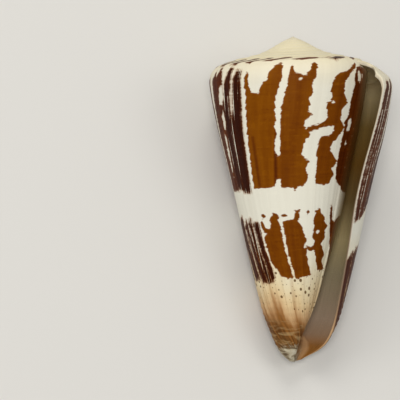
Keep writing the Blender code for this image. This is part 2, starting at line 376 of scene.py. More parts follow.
# %% Flames above the pale middle band
UPPER_FLAMES = (
    (0.75, ((1, 25.8), (1.3, 40), (2.6, 49), (5, 51.4), (8, 51.2), (8, 40), (7.6, 34), (8.4, 26.3))),
    (0.62, ((9, 26.2), (9.2, 36), (9.7, 47.5), (12, 51.3), (15, 51.8), (17, 49.8), (17.2, 38), (16.6, 27))),
    (0.8, ((17.6, 27.2), (18.4, 36), (21, 40), (23, 47), (22.5, 52.7), (26, 53), (29, 50), (28.6, 29))),
    (1, ((30, 27), (30, 50), (34, 51), (36, 50.5), (38, 46), (41, 49), (46, 50.2), (48, 48), (44, 45),
        (41, 41), (44, 39.8), (50, 39.5), (51, 46), (53, 49.8), (55.5, 49.5), (57, 48), (59.5, 49.5),
        (60.5, 46), (60.5, 26.6))),
    (0.8, ((62.3, 27), (62.3, 44), (64, 46.5), (67, 48.5), (69.5, 50.6), (70.3, 49), (67, 45.5), (66, 40),
        (66.5, 35), (67.5, 27))),
    (0.95, ((69, 26.8), (69, 48), (71, 48.7), (77, 49), (79, 50.8), (80.6, 50.3), (81.5, 48), (83, 47.5),
        (85, 48), (88, 50.3), (89, 48.5), (90, 47.5), (91, 49), (95.5, 49.7), (96.5, 47), (96.3, 36),
        (98.6, 33), (98.6, 26.4), (85, 26.6), (83, 28.3), (81, 26.5))),
    (0.6, ((97.4, 27), (97, 46.5), (99, 48.7), (104, 49.9), (109, 51), (110.5, 50.4), (105, 49), (101, 47),
        (98.5, 44), (98.4, 27))),
    (0.3, ((104.5, 27), (104.8, 30.3), (101.5, 31), (104.8, 31.8), (105, 35.5), (102, 36.2), (105, 37),
        (105.3, 44), (107, 46), (111, 46.6), (111.5, 48), (115, 48.5), (118, 49.5), (123, 50.7),
        (126, 50.9), (124, 50), (120, 48.5), (119.5, 46), (118.6, 44.5), (119, 43), (119.5, 42), (122, 41),
        (126.5, 40.2), (126.5, 39.8), (121, 38.8), (119.4, 37.5), (119, 35), (119.3, 33.8), (122, 32.9),
        (126.8, 32.5), (126.8, 32), (122.5, 31.3), (120.5, 30), (121.5, 28.5), (125.5, 27.8), (126.5, 27))),
    (0.5, ((126.5, 27), (126.5, 47), (128, 49.5), (129.5, 50.4), (131.5, 49), (135, 48.5), (138, 49),
        (139, 50.6), (141.8, 50), (141, 48.8), (139, 47), (137, 45), (136, 43), (136, 41.5), (133, 40.5),
        (135, 38.5), (136, 37.5), (140.5, 37), (140.5, 36.3), (136, 35.8), (135, 34.4), (136.5, 33.6),
        (141, 33.6), (141, 28.8), (138, 28), (136, 27.2))),
    (0.65, ((141, 27.3), (141, 43.8), (145, 44.3), (145.5, 46), (148, 46.5), (148.5, 49), (152, 49.3),
        (153, 50.6), (154.2, 50), (153.5, 45), (154, 27.4))),
    (0.45, ((158.6, 28.2), (159, 42.3), (164, 42.6), (165.5, 43.3), (160, 44), (160.5, 49), (162.5, 51),
        (164.5, 50.5), (167.8, 46.5), (168, 44.8), (171, 45), (180, 45.2), (184, 45.8), (179, 47.3),
        (178, 49), (176, 50), (178, 51), (182, 50.8), (186, 49), (196, 48.5), (199, 49), (199.5, 28.6),
        (180, 29.1), (172, 29.4), (168, 29.5), (166, 27.2), (163.5, 27), (163.5, 28.3))),
    (0.7, ((203, 30), (202.5, 47), (205, 50.5), (209, 51.3), (213, 50.6), (214, 47), (217, 45),
        (217, 30.3))),
    (0.65, ((221, 30.8), (221.5, 50.5), (226, 51.8), (229, 50.5), (232, 52.3), (236, 51.6), (238, 49),
        (238, 30.8))),
    (0.95, ((238, 31), (238, 46), (241, 49), (244.5, 52.1), (247.5, 52), (247, 46), (247.5, 31))),
    (0.95, ((247, 30.5), (247, 43), (250, 45), (250.5, 50), (253, 51.6), (256.5, 51.4), (257.6, 46),
        (257.9, 30.3))),
    (0.1, ((262.5, 31), (262.5, 47), (260.8, 49.5), (261.5, 51.3), (263.2, 51.2), (264, 49), (267, 47.7),
        (273, 47.2), (274.5, 49), (278, 49.5), (280, 51.2), (283, 52.2), (286.5, 52.5), (289, 51.8),
        (289, 50), (287.5, 48), (285.5, 46.5), (286, 44), (287.5, 42.8), (286, 41.5), (288, 40.3),
        (286.2, 39), (286, 37.5), (288, 36.4), (287, 33), (285, 31.2), (278, 30.9), (270, 31.1))),
    (0.15, ((285, 32.4), (285, 36.3), (293, 36.3), (293, 32.4))),
    (0.2, ((291, 31), (291, 45), (292.5, 47), (294, 49), (294.5, 51.8), (296, 52), (298, 50.8), (302, 50.3),
        (307, 50.3), (309, 50.9), (310.5, 52), (312.5, 52.4), (314.5, 51.8), (314, 50), (312, 48.5),
        (313, 47), (311, 46), (312.5, 45), (311, 44), (315.5, 43.3), (311, 42.6), (309.5, 41.5),
        (313, 40.6), (317, 40), (312.5, 39.2), (310, 37.5), (309.5, 36.5), (313, 35.8), (317.5, 35.2),
        (313.5, 34), (318, 32.6), (314.5, 31.6), (313, 30.9), (307, 31), (304, 30), (303, 30.9))),
    (0.3, ((312, 41.1), (320, 41.5), (328, 42), (328, 41.2), (320, 40.8), (313, 40.4))),
    (0.25, ((325.5, 31.3), (325.5, 35), (323.5, 37), (325.5, 39.6), (335, 39.6), (338, 40.5), (337.5, 41.3),
        (328, 41.2), (327.5, 42), (329.5, 43), (326, 45.2), (329.5, 45.6), (331, 46.3), (328.5, 47.2),
        (328.5, 48.8), (331, 49.8), (335, 50.5), (341, 50.6), (348, 51.6), (353, 52), (352, 51.2),
        (345, 50.4), (341, 49), (341, 47.5), (344, 46), (347.5, 45.3), (342.5, 44), (343, 42.5),
        (349.5, 40.9), (344, 39.3), (338, 38.2), (337, 37.2), (343, 36.2), (349.5, 34.9), (342.5, 34),
        (347.5, 32.9), (341, 31.2))),
    (0.6, ((352, 32), (350, 34), (350.5, 41), (349, 42), (353, 43), (352, 46), (354, 48.5), (351.5, 50),
        (354, 51.3), (367, 52), (420, 52), (420, 29), (367, 30))),
)
UPPER_GAPS = (
    ((4.3, 29), (4, 38), (4.4, 46), (5.4, 46), (5.2, 38), (5.4, 30)),
    ((12.2, 31), (12.3, 47), (13.4, 47.5), (13.4, 36)),
    ((76, 40), (75.8, 44), (77.5, 47.3), (80, 47.5), (80.5, 44), (79.5, 40)),
    ((85, 39.8), (84.5, 43), (86, 47), (89, 48.5), (89.8, 45), (89.8, 39.6), (87, 39.3)),
    ((80.5, 34), (80.5, 39), (82, 39.8), (84, 39), (84.5, 35), (83.5, 33.5)),
    ((87, 37), (90.5, 38), (91, 36.5)),
    ((88.5, 34), (91, 34.5), (90, 33.3)),
    ((166, 40.2), (165.5, 41.3), (169, 42.6), (171.5, 42), (168.5, 40.5)),
    ((170, 41.6), (178, 42), (176, 41.2)),
    ((168, 39.6), (172, 39.8), (178, 39.2), (172, 38.8), (168, 39)),
    ((168, 35.8), (172, 36.3), (176, 35.8), (172, 35.3)),
    ((182, 44), (184, 45), (192, 45), (198, 43.8), (192, 42.4), (186, 42.5)),
    ((207, 37), (206.5, 43), (208, 48), (209.5, 47), (210, 42), (209, 37)),
    ((232.5, 33), (231, 37), (233, 41), (236, 40), (235, 36), (234, 33)),
    ((234, 41.5), (233, 44), (237, 45), (239, 43), (237, 41.2)),
    ((231, 46), (233, 49), (238, 49.5), (240, 47), (236, 45.8)),
    ((246, 43.5), (246, 47), (248, 50), (250, 49), (249, 45), (248, 43.5)),
    ((301, 49.5), (303, 49.9), (305, 49.6), (303, 49.2)),
    ((330.5, 45.2), (332, 45.9), (334.5, 45.7), (333, 45.1)),
    ((354, 40.3), (353.5, 42), (356, 43), (360, 41.8), (359, 40.3)),
    ((355, 38), (356, 38.8), (359, 38.2), (357, 37.6)),
    ((355, 50.3), (357, 51), (362, 50), (361, 48.7), (357, 49)),
    ((364, 33), (364.5, 50), (366, 50), (365.3, 33)),
)
print("upper flames", len(UPPER_FLAMES), "gaps", len(UPPER_GAPS))

# %% Flames below the pale band, and the small specks between
LOWER_FLAMES = (
    (0.75, ((-4, 5.5), (-4, 17.5), (0, 18.8), (3, 19.3), (7, 20.3), (9.3, 20), (9.6, 14), (13.5, 7.5))),
    (0.7, ((10.6, 14), (10.4, 19.5), (15, 21), (19, 20.5), (20, 14), (26, 8.5), (14.5, 7.8))),
    (0.85, ((20.8, 14.2), (20.2, 20), (24, 21.5), (31, 21), (34, 15), (39, 9.5), (27.5, 8.8))),
    (0.9, ((38, 12), (38, 19.5), (48, 20.2), (56, 20.5), (66, 20.2), (70, 15), (76, 9.9), (66, 9.8),
        (52, 11))),
    (0.85, ((71, 20), (74, 20.8), (77, 22), (79, 20.7), (84, 20.6), (88, 19), (90, 16), (97, 10.3),
        (87, 9.9), (80, 9.6), (76, 13), (72, 17))),
    (0.8, ((90.5, 16.2), (92.5, 18.5), (93, 20.2), (98.5, 20.3), (99.3, 17.5), (101, 14.5), (106, 11.5),
        (111.5, 9.9), (104, 9.9), (99, 12), (95.5, 15), (94, 16))),
    (0.4, ((105.8, 17), (106.5, 19.8), (110.5, 20), (112, 21.3), (114.5, 21.4), (115, 22.6), (117.5, 22.2),
        (118.5, 20), (119.5, 18.8), (124, 17.3), (129, 16.8), (130.5, 15.8), (127, 14.8), (124.5, 13.6),
        (126, 12.2), (131, 11.6), (139.5, 11.2), (132, 10.5), (119, 10.4), (114, 11), (109, 13),
        (106.8, 15))),
    (0.55, ((127, 21.2), (138.5, 21.6), (139, 19.8), (141.5, 18.8), (144, 17.8), (138, 17.9), (133, 17),
        (131, 15.9), (128.5, 16.4), (129.5, 18.5), (127, 19.5))),
    (0.6, ((131, 14.8), (134, 15.1), (139, 14.4), (144.5, 14.7), (146, 13.6), (150, 12.3), (152, 11.5),
        (146, 11.2), (139, 12.3), (135.5, 13.8))),
    (0.6, ((144.4, 15.2), (144.6, 17), (146, 18.3), (149.5, 18.8), (148.3, 21.7), (153.5, 21.8),
        (154.5, 19), (157, 16), (161, 13.4), (166.5, 12), (161, 11.6), (156.5, 13), (153, 14.9),
        (147, 14.8))),
    (0.5, ((159.5, 22.8), (163, 23.2), (165.5, 22.8), (166, 20.5), (168, 19.6), (173, 19.8), (175, 21),
        (174, 23), (178, 24), (188, 23.6), (197, 22.5), (202, 15), (197, 13.5), (186, 15.5), (180, 17),
        (174.5, 16.6), (179, 14), (181, 12.8), (173, 13), (168, 15.5), (163, 18.5), (160.5, 20.5))),
    (0.8, ((204, 24), (211, 24.8), (214, 22), (218, 15), (211, 14))),
    (0.85, ((217, 24.8), (222, 25.5), (231, 26), (232, 22), (238, 15), (224, 14.6), (220, 20))),
    (0.9, ((234.5, 24.3), (240, 25.3), (242, 22), (252, 14.4), (243, 14.3), (237, 20))),
    (0.95, ((243.5, 24.7), (248, 25.6), (249.5, 21.5), (259, 14.5), (254, 14.2), (247, 19.5))),
    (0.95, ((251.5, 24.7), (259.5, 25), (260.2, 20.5), (265.5, 15.3), (261, 14.4), (255, 19.5))),
    (0.2, ((262.5, 25), (265, 25.4), (267, 23.9), (273, 23.6), (275, 25.3), (279, 26.4), (283.5, 26.3),
        (285.6, 23), (286.1, 20.5), (288.6, 18), (292.6, 15.1), (284, 14.9), (276, 15.4), (271, 16.8),
        (267, 17.5), (264, 20), (263.5, 22.4), (268, 22.8), (264, 23.4))),
    (0.25, ((288.8, 25), (303, 25.3), (303, 26.8), (308, 26.3), (306, 25), (309, 24), (313, 22.2),
        (316, 21.7), (311, 20.6), (312.5, 20.1), (317, 20.2), (314, 19), (317.5, 17.6), (320, 16.5),
        (323.5, 15.5), (315, 15.2), (308, 15.3), (303, 14.9), (296.5, 15), (292.6, 17.5), (289.6, 20.5),
        (289.4, 23))),
    (0.3, ((313, 20.4), (322, 20.3), (329, 21), (329, 20.2), (322, 19.7), (314, 19.9))),
    (0.3, ((325.5, 25.5), (328, 26.4), (334, 26.3), (340, 25.6), (343, 24.4), (349, 24), (343, 23.2),
        (345.5, 22), (339, 21), (343, 20), (351, 18.8), (346, 17.9), (350, 17.2), (362, 16.4), (350, 16.1),
        (339, 16.2), (334, 17.3), (330, 19), (325, 20.3), (327.5, 21.3), (324, 22.2), (326, 23.5))),
    (0.6, ((350, 27.4), (353, 27.2), (356, 24.8), (361, 24.4), (372, 25.5), (410, 25), (410, 12), (376, 13),
        (368, 17), (360, 21.3), (353, 24.3))),
)
LOWER_GAPS = (
    ((80, 16.6), (82, 17.6), (84, 17), (83, 16)),
    ((129, 20.4), (131, 20.8), (133.5, 20.5), (131, 20.1)),
    ((54, 19.5), (58, 15.5), (66, 11), (68, 11), (60, 16), (56, 19.5)),
    ((328, 23), (331, 23.4), (335, 22.9), (331, 22.6)),
)
SPECKS = (
    (0.5, ((73.5, 25), (75, 26), (78.5, 26), (77, 24.8))),
    (0.3, ((112.7, 24.6), (112.7, 26.6), (115.3, 26.6), (114.8, 24.6))),
    (0.6, ((184, 24.5), (183, 27), (186, 27.5), (187, 25))),
    (0.3, ((302, 26.6), (309, 26.9), (309, 26.5), (303, 26.2))),
    (0.3, ((327, 26.6), (333, 27.1), (334, 26.6), (329, 26.4))),
    (0.4, ((265, 26.2), (268, 26.4), (270, 26), (267, 25.8))),
    (0.4, ((288.5, 26), (292, 26.2), (294, 25.9), (291, 25.7))),
    (0.5, ((281.8, 26), (283.4, 26.2), (284.8, 25.9), (283.2, 25.5))),
    (0.4, ((316.4, 26.5), (318.4, 26.7), (319.2, 26.3), (317.2, 26.1))),
)
print("lower flames", len(LOWER_FLAMES), "specks", len(SPECKS))


# %% Distance to an outline
MEAN_LIP_AZIMUTH = -30.0


def depth_inside(turned, level, outline):
    """Millimetres to the outline on the unrolled wall: positive inside it, negative outside."""
    outline = np.array(outline, float)
    mean_turn, mean_level = outline.mean(0)
    mean_growth = growth(mean_turn + MEAN_LIP_AZIMUTH)
    stretch = math.radians(1.0) * float(side_reach(mean_level) * mean_growth)
    x, y = turned * stretch, level
    px, py = outline[:, 0] * stretch, outline[:, 1]
    nearest = np.full(len(x), 1e9)
    within = np.zeros(len(x), bool)
    for i in range(len(outline)):
        ax, ay, by = px[i - 1], py[i - 1], py[i]
        dx, dy = px[i] - ax, by - ay
        along = np.clip(((x - ax) * dx + (y - ay) * dy) / (dx**2 + dy**2), 0, 1)
        nearest = np.minimum(nearest, np.hypot(x - ax - along * dx, y - ay - along * dy))
        if dy != 0:
            crosses = (ay > y) != (by > y)
            within ^= crosses & (x < ax + (y - ay) * dx / dy)
    return np.where(within, nearest, -nearest)


# Past FAR_OUT a flame isn't felt. A flame is worked out only this many degrees and mm round its outline.
FAR_OUT, TONE_BLEND = -3.0, 0.35
MARGIN_DEGREES, MARGIN_MM = 22, 6


def painted(turned, level, flames, gaps):
    """Depth inside the flames once the gaps are cut out, and the tone of the flame that is nearest."""
    depth = np.full(len(turned), FAR_OUT)
    tone_sum, weight_sum = np.zeros(len(turned)), np.full(len(turned), 1e-9)
    for tone, outline in flames:
        spread = np.array(outline, float)
        near = np.abs(turned - spread[:, 0].mean()) < np.ptp(spread[:, 0]) / 2 + MARGIN_DEGREES
        near &= np.abs(level - spread[:, 1].mean()) < np.ptp(spread[:, 1]) / 2 + MARGIN_MM
        inside = depth_inside(turned[near], level[near], outline)
        depth[near] = np.maximum(depth[near], inside)
        weight = np.exp(np.clip(inside, FAR_OUT, 1.0) / TONE_BLEND)
        tone_sum[near] += tone * weight
        weight_sum[near] += weight
    for outline in gaps:
        depth = np.minimum(depth, -depth_inside(turned, level, outline))
    return depth, tone_sum / weight_sum


print("a flame is felt up to", -FAR_OUT, "mm away")

# %% Dashes on the ramp, where the next whorl would be laid on
RAMP_WIDTH = 4.3
DASHES = (
    (0.6, ((21, 56.2), (18, 55), (12.5, 53.4), (16, 55), (19, 56.2))),
    (0.6, ((26, 56.2), (24, 55.2), (18, 53.4), (22, 55), (24, 56.2))),
    (0.6, ((31, 56.2), (29, 55.1), (23, 53.3), (27, 55), (29.5, 56.2))),
    (0.6, ((38, 55.8), (35, 54.9), (29, 53.4), (33, 55.1), (36, 56))),
    (0.6, ((44, 55.6), (42, 54.7), (35, 53.2), (40, 54.8), (42, 55.8))),
    (0.9, ((52, 55.6), (59, 55), (56, 54), (45, 53.2), (53, 54.4), (50, 55.4))),
    (0.95, ((58, 55.6), (62, 55.5), (69, 54.1), (65, 53.6), (54, 52.9), (63, 54.1))),
    (0.9, ((68, 55.4), (71, 55.3), (77, 54), (73, 53.4), (63, 52.8), (71, 54.1))),
    (0.6, ((73.5, 55.4), (76, 55.3), (79, 54.4), (76, 54.1))),
    (0.55, ((82, 55.3), (84.5, 55.2), (89, 54.2), (84, 53.6), (85.5, 54.5))),
    (0.8, ((86, 55.6), (92, 55.5), (100, 54.2), (98, 53.5), (85, 53), (93, 53.9), (90, 54.6))),
    (0.85, ((99, 55.6), (103, 55.3), (106, 54), (102, 53.4), (92, 52.8), (100, 53.9), (100, 54.6))),
    (0.9, ((104, 55.8), (110, 55.5), (112, 54.2), (109, 53.5), (101, 53), (107, 54.2))),
    (0.6, ((111, 56), (118, 55.7), (126, 54.2), (123, 53.6), (115, 53.2), (119, 54.2))),
    (0.5, ((125, 55.4), (133, 55.3), (138, 54), (133, 53.6), (127, 53.3), (130, 54.4))),
    (0.9, ((138, 55.5), (152, 55.2), (153, 53.9), (146, 53.5), (137, 53.1), (142, 54.2))),
    (0.85, ((155, 55.8), (164, 55.4), (168, 54), (161, 53.4), (157, 54.6))),
    (0.6, ((169, 55.4), (171, 55.4), (176, 54.2), (174, 54.1))),
    (0.8, ((179, 56), (182, 55.8), (188, 53.9), (185, 53.8))),
    (0.6, ((197, 56.6), (200, 56.4), (212, 53.6), (209, 53.7))),
    (0.75, ((194, 53.2), (201, 55.8), (206, 56), (201, 53.1))),
    (0.85, ((208, 53.1), (216, 55.6), (221, 55.8), (215, 52.9))),
    (0.9, ((225, 53.1), (231, 55.4), (237, 55.7), (232, 52.8))),
    (0.8, ((241.5, 53.1), (246.5, 55.4), (252, 55.7), (247.5, 52.8))),
    (0.6, ((256, 53.1), (260.5, 55.4), (265.5, 55.7), (261.5, 52.9))),
    (0.45, ((269.5, 53.3), (274, 55.4), (283, 55.7), (279, 53))),
    (0.4, ((291, 53.5), (297, 54.8), (306, 54.4), (315, 53.5), (302, 53))),
    (0.3, ((315, 54.1), (317, 54.9), (321, 54.8), (320.5, 53.9))),
    (0.9, ((325, 53.6), (327, 55.6), (338, 55.4), (341, 53.6), (332, 52.9))),
    (0.75, ((350, 53.8), (353, 55.6), (364, 55.2), (362, 53.8), (354, 52.9))),
)
whorl = np.floor(values["whorls_in"] + 1e-6)
share = values["whorls_in"] - whorl
on_ramp = values["whorls_in"] > 0
sheet_level = np.where(on_ramp, CORNER_HEIGHT + share * RAMP_WIDTH, values["height"])
print("dashes", len(DASHES))

# %% Depth and tone for every corner of the last whorl
painted_here = (whorl == 0) & (values["inside"] < 0.9)
flame_depth = np.full(len(whorl), FAR_OUT)
flame_tone = np.full(len(whorl), 0.5)
flame_depth[painted_here], flame_tone[painted_here] = painted(
    values["turned"][painted_here], sheet_level[painted_here],
    UPPER_FLAMES + LOWER_FLAMES + SPECKS + DASHES, UPPER_GAPS + LOWER_GAPS,
)
SHADE_BLEND_MM = 0.5
SHADES = (
    (0.75, ((285, 31), (285.6, 36), (287, 41), (288.4, 41), (287.8, 36), (287.4, 31))),
    (0.5, ((268, 31), (267, 36), (266, 40), (268, 40), (269.5, 36), (270, 31))),
)
for shade, outline in SHADES:
    inside_mm = depth_inside(values["turned"], sheet_level, outline)
    over = np.clip(inside_mm / SHADE_BLEND_MM + 0.5, 0, 1) * painted_here
    flame_tone += (shade - flame_tone) * over
print("pigment covers", round(float((flame_depth[painted_here] > 0).mean()), 2), "of the last whorl")

# %% [markdown]
# ## Rolling the sheet up
# The coil is one rule: azimuth grows with the turn back from the lip, and reach shrinks by the whorl ratio
# with every turn. Geometry Nodes hold that rule with its sizes as named inputs, so it can be tried with
# other numbers. The spire's outline is a small curve in the tree, because a real spire isn't a straight
# cone. Most nodes do one small sum, so they are listed as steps: what a step gives, what it does, and the
# names or numbers that it uses.

# %% A node, with its settings and links
def add_node(tree, kind, inputs=None, **settings):
    node = tree.nodes.new(kind)
    for name, value in settings.items():
        setattr(node, name, value)
    for key, value in (inputs or {}).items():
        if isinstance(value, bpy.types.NodeSocket):
            tree.links.new(value, node.inputs[key])
        else:
            node.inputs[key].default_value = value
    return node


# %% A list of steps, each of them one node
RANGE_INPUTS = ("Value", "From Min", "From Max", "To Min", "To Max")
ACTIONS = {
    "RANGE": ("ShaderNodeMapRange", {}, RANGE_INPUTS, 0),
    "EASE": ("ShaderNodeMapRange", {"interpolation_type": "SMOOTHSTEP"}, RANGE_INPUTS, 0),
    "MIX": ("ShaderNodeMix", {"data_type": "RGBA"}, (0, 6, 7), 2),
}


def add_steps(tree, known, steps):
    """Adds a node for each step and keeps its output in known. An action that isn't listed above is a sum."""
    for name, action, *parts in steps:
        a_sum = ("ShaderNodeMath", {"operation": action}, (0, 1, 2), 0)
        kind, settings, keys, output = ACTIONS.get(action, a_sum)
        inputs = {key: known.get(part, part) for key, part in zip(keys, parts)}
        known[name] = add_node(tree, kind, inputs, **settings).outputs[output]


def set_curve(node, places):
    """Puts a Float Curve's points at these places and returns its output."""
    points = node.mapping.curves[0].points
    points[0].location, points[1].location = places[0], places[-1]
    for x, y in places[1:-1]:
        points.new(x, y)
    node.mapping.update()
    return node.outputs[0]


print("steps besides sums", list(ACTIONS))

# %% The sheet as a flat mesh that carries its numbers
MM_PER_DEGREE = 0.28
sheet = bpy.data.meshes.new("flat sheet")
flat_places = np.stack([values["turned"] * MM_PER_DEGREE, values["height"], values["inset"]], 1) * MM
sheet.from_pydata(flat_places.tolist(), [], faces)
for name, numbers in {**values, "flame_depth": flame_depth, "flame_tone": flame_tone}.items():
    sheet.attributes.new(name, "FLOAT", "POINT").data.foreach_set("value", numbers.astype(np.float32))
along_mm = (values["turned"] + 360.0 * whorl) * MM_PER_DEGREE
lines = np.stack([along_mm, sheet_level, values["inside"]], 1).astype(np.float32)
sheet.attributes.new("growth_lines", "FLOAT_VECTOR", "POINT").data.foreach_set("vector", lines.ravel())
print("sheet corners", len(sheet.vertices), "faces", len(sheet.polygons))

# %% The tree's inputs
coil = bpy.data.node_groups.new("roll up a shell", "GeometryNodeTree")
coil.interface.new_socket("Geometry", in_out="INPUT", socket_type="NodeSocketGeometry")
COIL_INPUTS = {
    "Shell Length": SHELL_LENGTH, "Whorl Ratio": WHORL_RATIO, "Shoulder Height": CORNER_HEIGHT,
    "Shoulder Reach": CORNER_REACH, "Foot": FOOT, "Smallest Radius": SMALLEST_RADIUS,
    "Draws In From": DRAWS_IN[0], "Draws In Until": DRAWS_IN[1],
    "Tip Lean": TIP_LEAN, "Tip Drop": TIP_DROP, "Lean Height": LEAN_HEIGHT,
    "Lean From": LEAN_FROM, "Lean Until": LEAN_UNTIL,
}
for name, value in COIL_INPUTS.items():
    coil.interface.new_socket(name, in_out="INPUT", socket_type="NodeSocketFloat").default_value = value
coil.interface.new_socket("Material", in_out="INPUT", socket_type="NodeSocketMaterial")
coil.interface.new_socket("Geometry", in_out="OUTPUT", socket_type="NodeSocketGeometry")
given = add_node(coil, "NodeGroupInput").outputs
known = {name: given[name] for name in COIL_INPUTS}
for name in FIELDS:
    reader = add_node(coil, "GeometryNodeInputNamedAttribute", {"Name": name}, data_type="FLOAT")
    known[name] = reader.outputs["Attribute"]
print("tree inputs", len(COIL_INPUTS), "numbers of the sheet", len(FIELDS))

# %% How much each corner is turned and shrunk, and how high its whorl's top is
add_steps(coil, known, (
    ("azimuth", "ADD", "lip_bend", "turned"),
    ("turned_back", "MULTIPLY_ADD", "whorls_in", 360.0, "azimuth"),
    ("turns", "DIVIDE", "turned_back", -360.0),
    ("shrink", "POWER", "Whorl Ratio", "turns"),
    ("corner", "MULTIPLY", "Shoulder Reach", "shrink"),
))
# The spire's outline: from the corner's reach to its depth below the apex, both as shares of the curve's box.
CURVE_REACH, CURVE_DEPTH = 20.0, 10.0
spire_places = [(reach / CURVE_REACH, (SHELL_LENGTH - top) / CURVE_DEPTH) for reach, top in SPIRE_OUTLINE]
add_steps(coil, known, (("corner_share", "DIVIDE", "corner", CURVE_REACH),))
spire_curve = add_node(coil, "ShaderNodeFloatCurve", {"Value": known["corner_share"]})
known["outline"] = set_curve(spire_curve, spire_places + [(1.0, 0.95)])
add_steps(coil, known, (
    ("below_apex", "MULTIPLY", "outline", CURVE_DEPTH),
    ("top", "SUBTRACT", "Shell Length", "below_apex"),
))
print("points of the spire's curve", len(spire_places) + 1)

# %% Height and reach
# A side's row keeps its share of the height between the foot and the shoulder.
add_steps(coil, known, (
    ("over_foot", "SUBTRACT", "height", "Foot"),
    ("span", "SUBTRACT", "Shoulder Height", "Foot"),
    ("share_up", "DIVIDE", "over_foot", "span"),
    ("top_span", "SUBTRACT", "top", "Foot"),
    ("raised", "MULTIPLY_ADD", "share_up", "top_span", "Foot"),
    ("z", "SUBTRACT", "raised", "drop"),
))
# The older face draws in towards the axis, which leaves the mouth and the pillar.
add_steps(coil, known, (
    ("drawn", "EASE", "azimuth", "Draws In From", "Draws In Until"),
    ("short", "SUBTRACT", 1.0, "pillar"),
    ("taken", "MULTIPLY", "drawn", "short"),
    ("kept", "SUBTRACT", 1.0, "taken"),
    ("plain", "MULTIPLY", "reach", "shrink"),
    ("outer", "MULTIPLY", "plain", "kept"),
    ("limited", "MAXIMUM", "outer", "Smallest Radius"),
    ("wall_out", "SUBTRACT", "limited", "inset"),
    ("before_apex", "LESS_THAN", "whorls_in", APEX_WHORLS - 1.0),
    ("radius", "MULTIPLY", "wall_out", "before_apex"),
))
# Near the tip the older part of the wall leans away from the lip and ends lower.
DROP_HEIGHT = 3.0
add_steps(coil, known, (
    ("older_part", "EASE", "azimuth", "Lean From", "Lean Until"),
    ("low_part", "EASE", "z", 0.0, "Lean Height", 1.0, 0.0),
    ("end_part", "EASE", "z", FOOT, FOOT + DROP_HEIGHT, 1.0, 0.0),
    ("lean_share", "MULTIPLY", "older_part", "low_part"),
    ("drop_share", "MULTIPLY", "older_part", "end_part"),
    ("lean", "MULTIPLY", "lean_share", "Tip Lean"),
    ("tip_drop", "MULTIPLY", "drop_share", "Tip Drop"),
))
print("numbers known for each corner", len(known))

# %% From azimuth, radius and height to a place, in metres
add_steps(coil, known, (
    ("angle", "RADIANS", "azimuth"),
    ("cosine", "COSINE", "angle"),
    ("sine", "SINE", "angle"),
    ("from_axis", "MULTIPLY", "cosine", "radius"),
    ("x", "SUBTRACT", "from_axis", "lean"),
    ("y", "MULTIPLY", "sine", "radius"),
    ("lowered", "SUBTRACT", "z", "tip_drop"),
))
place_mm = add_node(coil, "ShaderNodeCombineXYZ", {"X": known["x"], "Y": known["y"], "Z": known["lowered"]})
place = add_node(coil, "ShaderNodeVectorMath", {0: place_mm.outputs[0], "Scale": MM}, operation="SCALE")
shape = given["Geometry"]
for kind, inputs in (
    ("GeometryNodeSetPosition", {"Position": place.outputs[0]}),
    ("GeometryNodeSetShadeSmooth", {"Shade Smooth": True}),
    ("GeometryNodeRealizeInstances", {}),
    ("GeometryNodeSetMaterial", {"Material": given["Material"]}),
):
    shape = add_node(coil, kind, {"Geometry": shape, **inputs}).outputs[0]
add_node(coil, "NodeGroupOutput", {"Geometry": shape})
print("coil nodes", len(coil.nodes))

# %% [markdown]
# ## What the shell is made of
# Shell lime is aragonite in crossed layers under a thin natural glaze, and looks like worn porcelain:
# dense, satin, and a little translucent where it is thin. The brown pigment is in the outermost layer, so
# it has the same gloss. Colours are sRGB and one function turns them to linear. All patterns read the
# growth-line coordinates that the sheet carries (millimetres along the spiral, and up the side), so they
# grow with the shell.

# %% Colours and colour ramps
def linear(code):
    """sRGB hex to a linear colour."""
    parts = [int(code[i : i + 2], 16) / 255 for i in (1, 3, 5)]
    return (*[c / 12.92 if c <= 0.04045 else ((c + 0.055) / 1.055) ** 2.4 for c in parts], 1.0)


def set_stops(ramp, table):
    """Fills a colour ramp from a table of position and colour, and returns its output."""
    stops = ramp.color_ramp.elements
    for stop, (position, code) in zip(stops, (table[0], table[-1])):
        stop.position, stop.color = position, linear(code)
    for position, code in table[1:-1]:
        stops.new(position).color = linear(code)
    return ramp.outputs[0]


print("off-white in linear colour", [round(part, 2) for part in linear("#e8e4d4")])

# %% The material, and the numbers that its patterns read
lime = bpy.data.materials.new("glazed shell lime")
lime.use_nodes = True
tree = lime.node_tree
shader = tree.nodes["Principled BSDF"]
shader.inputs["IOR"].default_value = 1.53
shader.inputs["Specular IOR Level"].default_value = 0.04
RAMP, NOISE, VECTOR = "ShaderNodeValToRGB", "ShaderNodeTexNoise", "ShaderNodeVectorMath"
lines_at = add_node(tree, "ShaderNodeAttribute", attribute_name="growth_lines").outputs["Vector"]
along_level_inside = add_node(tree, "ShaderNodeSeparateXYZ", {0: lines_at}).outputs
paint = dict(zip(("along", "level", "inside"), along_level_inside))
for name in ("flame_depth", "flame_tone", "callus"):
    paint[name] = add_node(tree, "ShaderNodeAttribute", attribute_name=name).outputs["Fac"]
print("material", lime.name)

